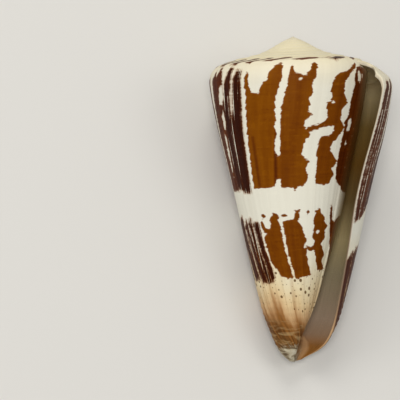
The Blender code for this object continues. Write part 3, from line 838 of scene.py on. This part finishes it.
# %% Noises that follow the growth lines: waves per mm along the spiral and up the side, detail, swirl
GRAINS = {
    "wander": ((0.16, 0.1, 0.0), 2.0, 0.0), "streak": ((1.0, 0.05, 0.0), 5.0, 0.5),
    "hair": ((4.0, 0.12, 0.0), 3.0, 0.3), "smear": ((0.5, 0.07, 0.0), 5.0, 0.0),
    "ripple": ((0.5, 2.4, 0.0), 2.0, 0.0), "mottle": ((0.9, 0.9, 0.0), 4.0, 0.0),
    "thread": ((0.1, 1.3, 0.0), 2.5, 0.9),
}
for name, (per_mm, detail, swirl) in GRAINS.items():
    at = add_node(tree, VECTOR, {0: lines_at, 1: per_mm}, operation="MULTIPLY").outputs[0]
    inputs = {"Vector": at, "Scale": 1.0, "Detail": detail, "Distortion": swirl}
    paint[name] = add_node(tree, NOISE, inputs).outputs["Fac"]
print("noises", len(GRAINS))

# %% [markdown]
# ## Ground colour
# Between the flames the shell is off-white. The spire is cream. Towards the tip the ground turns cream, tan
# and brown, with darker growth lines that run the lip's way, and right at the tip it is worn down to grey
# lime.

# %% Off-white, cream, tan and brown by height
add_steps(tree, paint, (
    ("wander_off", "MULTIPLY_ADD", "wander", 8.0, -4.0),
    ("low_wander", "RANGE", "level", 14.0, 26.0, 1.0, 0.25),
    ("browner", "RANGE", "along", 72.0, 86.0, -2.6, 0.0),
    ("low_browner", "MULTIPLY_ADD", "browner", "low_wander", "level"),
    ("wandered", "MULTIPLY_ADD", "wander_off", "low_wander", "low_browner"),
    ("level_share", "DIVIDE", "wandered", SHELL_LENGTH),
))
paint["by_height"] = set_stops(add_node(tree, RAMP, {0: paint["level_share"]}), (
    (0.0, "#6b4a26"), (0.05, "#5f3a18"), (0.075, "#7c5229"), (0.095, "#a5774a"), (0.125, "#cfa97b"),
    (0.165, "#e2c799"), (0.22, "#eadab4"), (0.31, "#e9e2cc"), (0.38, "#e8e5d6"), (0.8, "#e8e4d4"),
    (0.865, "#ebe2c8"), (0.9, "#efe4c2"), (1.0, "#f1e5be"),
))
add_steps(tree, paint, (
    ("streak_dark", "RANGE", "smear", 0.48, 0.64),
    ("low_down", "RANGE", "level", 17.0, 8.0, 0.03, 0.8),
    ("streak_part", "MULTIPLY", "streak_dark", "low_down"),
    ("streaked", "MIX", "streak_part", "by_height", linear("#94622f")),
    ("pale_line", "RANGE", "thread", 0.5, 0.64),
    ("near_tip", "RANGE", "level", 8.5, 5.5, 0.0, 0.3),
    ("pale_part", "MULTIPLY", "pale_line", "near_tip"),
    ("lined", "MIX", "pale_part", "streaked", linear("#d9bb85")),
    ("fleck", "RANGE", "streak", 0.66, 0.72),
    ("on_spire", "RANGE", "level", 53.6, 54.4, 0.0, 0.4),
    ("fleck_part", "MULTIPLY", "fleck", "on_spire"),
    ("flecked", "MIX", "fleck_part", "lined", linear("#b28a60")),
))
print("ground ready")

# %% [markdown]
# ## Dots near the tip
# Below the flames the pigment breaks into small brown dots that sit in spiral rows. Cells of a Voronoi
# pattern, squeezed to flat rows, give each dot its own size and place, and many cells stay empty.

# %% Dots in spiral rows
DOTS_PER_MM = (0.42, 0.9, 0.0)
dots_at = add_node(tree, VECTOR, {0: lines_at, 1: DOTS_PER_MM}, operation="MULTIPLY").outputs[0]
cell_inputs = {"Vector": dots_at, "Scale": 1.0, "Randomness": 0.75}
cells = add_node(tree, "ShaderNodeTexVoronoi", cell_inputs, voronoi_dimensions="2D")
paint["cell_far"] = cells.outputs["Distance"]
paint["cell_random"] = add_node(tree, "ShaderNodeSeparateXYZ", {0: cells.outputs["Color"]}).outputs[0]
dot_band = add_node(tree, "ShaderNodeFloatCurve", {"Value": paint["level_share"]})
paint["dot_band"] = set_curve(
    dot_band, ((0.0, 0.0), (0.1, 0.0), (0.15, 0.75), (0.2, 1.0), (0.255, 1.0), (0.285, 0.0), (1.0, 0.0))
)
add_steps(tree, paint, (
    ("dot_size", "RANGE", "cell_random", 0.48, 1.0, 0.08, 0.3),
    ("dot_reach", "MULTIPLY", "dot_size", "dot_band"),
    ("dot_depth", "SUBTRACT", "dot_reach", "cell_far"),
    ("dot_mask", "RANGE", "dot_depth", -0.02, 0.05, 0.0, 0.9),
    ("dotted", "MIX", "dot_mask", "flecked", linear("#5c3c10")),
))
print("dots ready")

# %% [markdown]
# ## The worn tip
# At the fasciole, the ridge that the notch of the lip left round the tip, the glaze is gone: the lime is
# grey and cream, and darker in its low places.

# %% Grey lime at the tip
# Darker where the thread noise is low, which is also where the relief is low.
paint["grey_lime"] = set_stops(add_node(tree, RAMP, {0: paint["thread"]}), (
    (0.3, "#54452f"), (0.42, "#93836a"), (0.55, "#c9bea2"), (0.7, "#dcd4be"),
))
add_steps(tree, paint, (
    ("worn_edge", "MULTIPLY_ADD", "mottle", 3.0, "level"),
    ("worn_part", "RANGE", "worn_edge", 4.7, 3.9, 0.0, 0.9),
    ("ground", "MIX", "worn_part", "dotted", "grey_lime"),
))
print("worn tip ready")

# %% [markdown]
# ## Flames
# The mask is the stored distance, pushed in and out where the pigment stepped along a spiral line: every
# 1.7 mm, with finer noise on top. The dark flames are split by hair-thin pale lines along the growth lines.
# Inside, the brown goes from golden to blackish with streaks along the growth lines and faint lines along
# the spiral, and it is a little more orange right at its edges. Pigment also seeped into the lime close to
# the dark flames, which is tan rather than white there.

# %% The flames' edge
SERRATION = 1.7
add_steps(tree, paint, (
    ("step_drift", "MULTIPLY_ADD", "wander", 9.0, "level"),
    ("step_at", "MULTIPLY_ADD", "ripple", 1.6, "step_drift"),
    ("steps", "PINGPONG", "step_at", SERRATION / 2),
    ("centred", "SUBTRACT", "steps", SERRATION / 4),
    ("step_reach", "RANGE", "flame_tone", 0.0, 1.0, 0.28, 0.1),
    ("step_mm", "MULTIPLY", "centred", "step_reach"),
    ("ripple_mm", "MULTIPLY_ADD", "ripple", 0.6, -0.28),
    ("wider", "MULTIPLY_ADD", "flame_tone", 0.16, "flame_depth"),
    ("shifted", "ADD", "wider", "step_mm"),
    ("rough_edge", "ADD", "shifted", "ripple_mm"),
    ("split_line", "RANGE", "hair", 0.56, 0.68),
    ("split_reach", "RANGE", "flame_tone", 0.55, 0.85, 0.0, -0.75),
    ("split_fade", "RANGE", "level", 52.0, 53.2, 1.0, 0.15),
    ("split_mm", "MULTIPLY", "split_reach", "split_fade"),
    ("ragged", "MULTIPLY_ADD", "split_line", "split_mm", "rough_edge"),
    ("mask", "RANGE", "ragged", -0.08, 0.08),
))
print("flame mask ready")

# %% The flames' browns
add_steps(tree, paint, (
    ("streak_push", "MULTIPLY_ADD", "smear", 0.55, -0.275),
    ("patch", "RANGE", "mottle", 0.42, 0.6, 0.0, 0.65),
    ("centred_line", "SUBTRACT", "thread", 0.5),
    ("spiral_push", "MULTIPLY", "centred_line", "patch"),
    ("pushed", "ADD", "streak_push", "spiral_push"),
    ("toned", "ADD", "flame_tone", "pushed"),
))
paint["brown"] = set_stops(add_node(tree, RAMP, {0: paint["toned"]}), (
    (0.0, "#844a03"), (0.25, "#713901"), (0.5, "#5c2802"), (0.75, "#461a03"), (1.0, "#321003"),
))
add_steps(tree, paint, (
    ("near_edge", "RANGE", "ragged", 0.35, 0.0, 0.0, 0.35),
    ("flame", "MIX", "near_edge", "brown", linear("#9a5a20")),
    ("close_by", "RANGE", "ragged", -0.42, -0.1),
    ("dark_flame", "RANGE", "flame_tone", 0.55, 0.8, 0.0, 0.55),
    ("stain", "MULTIPLY", "close_by", "dark_flame"),
    ("stained", "MIX", "stain", "ground", linear("#a9825f")),
    ("marked", "MIX", "mask", "stained", "flame"),
))
print("flames ready")

# %% [markdown]
# ## The mouth
# Inside, the wall is smooth and olive to grey-brown, and its colours are painted lighter than that: painted
# light for the light that would reach into the hollow. Beside the mouth, on the older whorl, a thin glaze
# lies over the old flames and dulls them, in the same lightened colours. The lip's edge is bare lime, tan to
# pale lilac, where it was last growing, and its pale peach-cream near the tip is partly a painted highlight.

# %% The mouth's colours, and all of it together
add_steps(tree, paint, (("plain_share", "DIVIDE", "level", SHELL_LENGTH),))
# The hollow's own olive, grey-brown and orange-brown by height, lightened throughout as painted light where
# the hollow lies in shade.
paint["mouth"] = set_stops(add_node(tree, RAMP, {0: paint["plain_share"]}), (
    (0.0, "#98682f"), (0.045, "#9e6c36"), (0.08, "#a6896e"), (0.13, "#b29c86"), (0.27, "#b2a485"),
    (0.38, "#d2c192"), (0.5, "#947a4d"), (0.62, "#966d31"), (0.74, "#a6874c"), (0.83, "#dac695"),
    (1.0, "#e6d9b8"),
))
# The lip's bare edge by height, tan to pale lilac; its pale peach-cream near the tip is partly a painted
# highlight on the rounded rim.
paint["lip_edge_and_highlight"] = set_stops(add_node(tree, RAMP, {0: paint["plain_share"]}), (
    (0.0, "#b98a58"), (0.1, "#cda67c"), (0.15, "#9c8064"), (0.22, "#8a7562"), (0.5, "#94816e"),
    (0.75, "#a08a6c"), (0.9, "#ddd2ba"),
))
add_steps(tree, paint, (
    ("glazed", "MIX", "callus", "marked", "mouth"),
    ("edge_part", "RANGE", "inside", 0.25, 0.5),
    ("edged", "MIX", "edge_part", "glazed", "lip_edge_and_highlight"),
    ("mouth_part", "RANGE", "inside", 0.75, 1.0),
    ("whole", "MIX", "mouth_part", "edged", "mouth"),
))
tree.links.new(paint["whole"], shader.inputs["Base Color"])
print("material nodes", len(tree.nodes))

# %% Gloss and relief
add_steps(tree, paint, (
    ("rough_mottle", "MULTIPLY_ADD", "mottle", 0.2, 0.34),
    ("rough", "MULTIPLY_ADD", "worn_part", 0.35, "rough_mottle"),
    ("fine", "MULTIPLY_ADD", "hair", 0.35, "streak"),
    ("threads", "MULTIPLY_ADD", "thread", 0.6, "fine"),
    ("pits", "MULTIPLY", "mottle", "worn_part"),
    ("relief", "MULTIPLY_ADD", "pits", 6.0, "threads"),
))
tree.links.new(paint["rough"], shader.inputs["Roughness"])
bump = add_node(tree, "ShaderNodeBump", {"Height": paint["relief"], "Strength": 0.5, "Distance": 0.12 * MM})
tree.links.new(bump.outputs[0], shader.inputs["Normal"])
print("relief ready")

# %% [markdown]
# ## Rolling it up for real and laying it down
# The tree runs once and its result becomes a plain mesh. Then the shell is turned to the pose that it rests
# in: on its back, mouth up, with the spire a little higher than the tip.

# %% The shell's mesh
def add_object(name, data):
    """A new object with this data, linked into the scene."""
    made = bpy.data.objects.new(name, data)
    bpy.context.scene.collection.objects.link(made)
    return made


roll = add_object("sheet", sheet)
coiling = roll.modifiers.new("roll up", "NODES")
coiling.node_group = coil
for item in coil.interface.items_tree:
    if item.in_out == "INPUT" and item.name in COIL_INPUTS:
        coiling[item.identifier] = COIL_INPUTS[item.name]
    elif item.in_out == "INPUT" and item.name == "Material":
        coiling[item.identifier] = lime
evaluated = roll.evaluated_get(bpy.context.evaluated_depsgraph_get())
mesh = bpy.data.meshes.new_from_object(evaluated)
bpy.data.objects.remove(roll)
mesh.name = "cone_shell"

lying = Matrix(((-1, 0, 0), (0, 0, -1), (0, -1, 0))).to_4x4()
rolled_over = Matrix.Rotation(math.radians(REST_ROLL), 4, "Z")
to_rest = Matrix.Rotation(math.radians(-REST_PITCH), 4, "X") @ lying @ rolled_over
mesh.transform(to_rest)
places = np.empty(len(mesh.vertices) * 3, np.float32)
mesh.vertices.foreach_get("co", places)
places = places.reshape(-1, 3)
shift = np.array([
    (cad_low.x + cad_high.x - places[:, 0].min() - places[:, 0].max()) / 2,
    (cad_low.y + cad_high.y - places[:, 1].min() - places[:, 1].max()) / 2,
    -places[:, 2].min() - CONTACT_DEPTH * MM,
])
places += shift
places[:, 2] = np.maximum(places[:, 2], 0.0)
mesh.vertices.foreach_set("co", places.ravel())
mesh.update()
cone_shell = add_object("cone_shell", mesh)
size_mm = (places.max(0) - places.min(0)) / MM
print("shell size mm", [round(float(v), 2) for v in size_mm], "materials", len(mesh.materials))

# %% Every edge has two faces, and they point outwards
bm = bmesh.new()
bm.from_mesh(mesh)
open_edges = sum(1 for e in bm.edges if len(e.link_faces) != 2)
bmesh.ops.recalc_face_normals(bm, faces=bm.faces)
if bm.calc_volume(signed=True) < 0:
    bmesh.ops.reverse_faces(bm, faces=bm.faces)
volume = bm.calc_volume(signed=True) / MM**3
bm.to_mesh(mesh)
bm.free()
print("open edges", open_edges, "volume mm3", round(volume))
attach(cone_shell, "root")
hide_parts("shell")

# %% [markdown]
# ## Floor, light and camera
# A plain pale floor and soft lamps. The camera looks at the mouth side, square to the axis, as the photo
# does, with a long lens so that near and far parts keep their sizes.

# %% Floor
bpy.ops.mesh.primitive_plane_add(size=3.0, location=(0, 0, 0))
floor = bpy.context.object
floor.name = "floor"
paper = bpy.data.materials.new("pale paper")
paper.use_nodes = True
matt = paper.node_tree.nodes["Principled BSDF"].inputs
matt["Base Color"].default_value = linear("#dcdad6")
matt["Roughness"].default_value = 0.9
floor.data.materials.append(paper)

# %% Camera
IMAGE_PIXELS = 400
MM_PER_PIXEL = 0.1846
LENS, SENSOR = 300.0, 36.0
PHOTO_LEAN = 1.33
MIDDLE_X, MIDDLE_Y = 296.75, 199.0
turn_to_world = to_rest.to_3x3()
towards_eye = turn_to_world @ Vector((0.0, -1.0, 0.0))
up = turn_to_world @ Vector((0.0, 0.0, 1.0))
up = Matrix.Rotation(math.radians(-PHOTO_LEAN), 3, towards_eye) @ up
right = up.cross(towards_eye)
axis_middle = turn_to_world @ Vector((0.0, 0.0, SHELL_LENGTH / 2 * MM)) + Vector(shift)
distance = IMAGE_PIXELS * MM_PER_PIXEL / SENSOR * LENS * MM
aim = axis_middle - right * (MIDDLE_X - IMAGE_PIXELS / 2) * MM_PER_PIXEL * MM
aim += up * (MIDDLE_Y - IMAGE_PIXELS / 2) * MM_PER_PIXEL * MM
eye = axis_middle + towards_eye * distance
camera = add_object("camera", bpy.data.cameras.new("camera"))
camera.data.lens, camera.data.sensor_width = LENS, SENSOR
back = (eye - aim).normalized()
side = up.cross(back).normalized()
turned_camera = Matrix((side, back.cross(side), back)).transposed().to_4x4()
camera.matrix_world = Matrix.Translation(eye) @ turned_camera
camera.data.clip_start, camera.data.clip_end = 0.01, 10.0
bpy.context.scene.camera = camera
print("camera height mm", round(eye.z / MM), "elevation", round(math.degrees(math.asin(back.z)), 1))

# %% Lamps
world = bpy.data.worlds.new("studio")
bpy.context.scene.world = world
world.use_nodes = True
sky = world.node_tree.nodes["Background"].inputs
sky["Color"].default_value = (1.0, 1.0, 1.0, 1.0)
sky["Strength"].default_value = 0.35
bpy.context.scene.view_settings.view_transform = "Standard"
LAMPS = (
    ("front", 0.0, 60.0, 760.0, 200.0, 1.9),
    ("left", -420.0, 200.0, 480.0, 320.0, 0.7),
    ("right", 420.0, 120.0, 480.0, 320.0, 0.5),
    ("above", 0.0, 520.0, 420.0, 300.0, 1.0),
)
for name, side_mm, up_mm, towards_mm, wide_mm, watts in LAMPS:
    lamp = add_object(name, bpy.data.lights.new(name, "AREA"))
    lamp.data.shape = "DISK"
    lamp.data.size, lamp.data.energy = wide_mm * MM, watts
    lamp.data.color = (1.0, 0.985, 0.94)
    lamp.location = axis_middle + right * side_mm * MM + up * up_mm * MM + towards_eye * towards_mm * MM
    lamp.rotation_mode = "QUATERNION"
    lamp.rotation_quaternion = (lamp.location - axis_middle).to_track_quat("Z", "Y")
print("lamps", len(LAMPS))

# %% The solid model's shell stays out of the render
SHELL.hide_render = True
